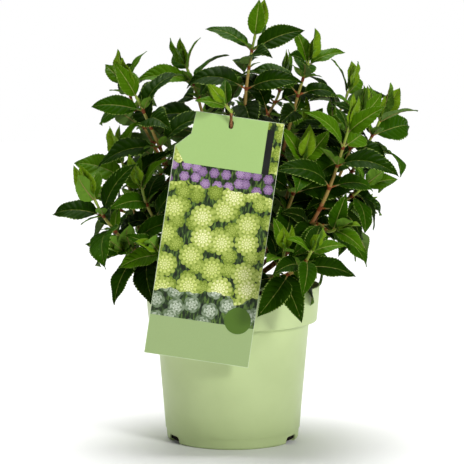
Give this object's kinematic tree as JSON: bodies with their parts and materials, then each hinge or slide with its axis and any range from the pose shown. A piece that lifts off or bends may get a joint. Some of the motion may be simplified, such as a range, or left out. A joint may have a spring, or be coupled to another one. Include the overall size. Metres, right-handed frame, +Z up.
{
  "type": "potted panicle hydrangea shrub",
  "caption": "Young leafy panicle hydrangea shrub without flowers in a round nursery pot with a deep collar and a large hang label on one shoot.",
  "frame": {"origin": "centre of the pot's flat underside, on the surface that it stands on", "axes": "+Z up along the pot's axis, +X to the right and +Y to the back, seen from the side where the label hangs"},
  "size_m": [0.3975, 0.3354, 0.4811],
  "materials": {
    "pot_plastic": "satin pale green injection-moulded plastic",
    "potting_mix": "rough dark peat and bark mix",
    "label_card": "printed plastic card with a soft sheen",
    "bark": "reddish-brown young bark with swollen nodes",
    "leaf": "dark green leaves with a soft gloss, paler below"
  },
  "bodies": {
    "root": {"pot": "pot_plastic", "potting_mix": "potting_mix", "trunk": "bark", "label": "label_card", "bough_left_low": "bark", "bough_left_high": "bark", "bough_left_front": "bark", "bough_top_left": "bark", "bough_top_centre": "bark", "bough_top_right": "bark", "bough_label_shoot": "bark", "bough_right_front": "bark", "bough_right_back": "bark", "bough_inner_right": "bark", "bough_front_low": "bark", "bough_back_left": "bark", "bough_back_centre": "bark", "bough_back_right": "bark", "bough_back_low": "bark", "foliage_left_low": "leaf", "foliage_left_high": "leaf", "foliage_left_front": "leaf", "foliage_top_left": "leaf", "foliage_top_centre": "leaf", "foliage_top_right": "leaf", "foliage_label_shoot": "leaf", "foliage_right_front": "leaf", "foliage_right_back": "leaf", "foliage_inner_right": "leaf", "foliage_front_low": "leaf", "foliage_back_left": "leaf", "foliage_back_centre": "leaf", "foliage_back_right": "leaf", "foliage_back_low": "leaf"}
  },
  "joints": []
}
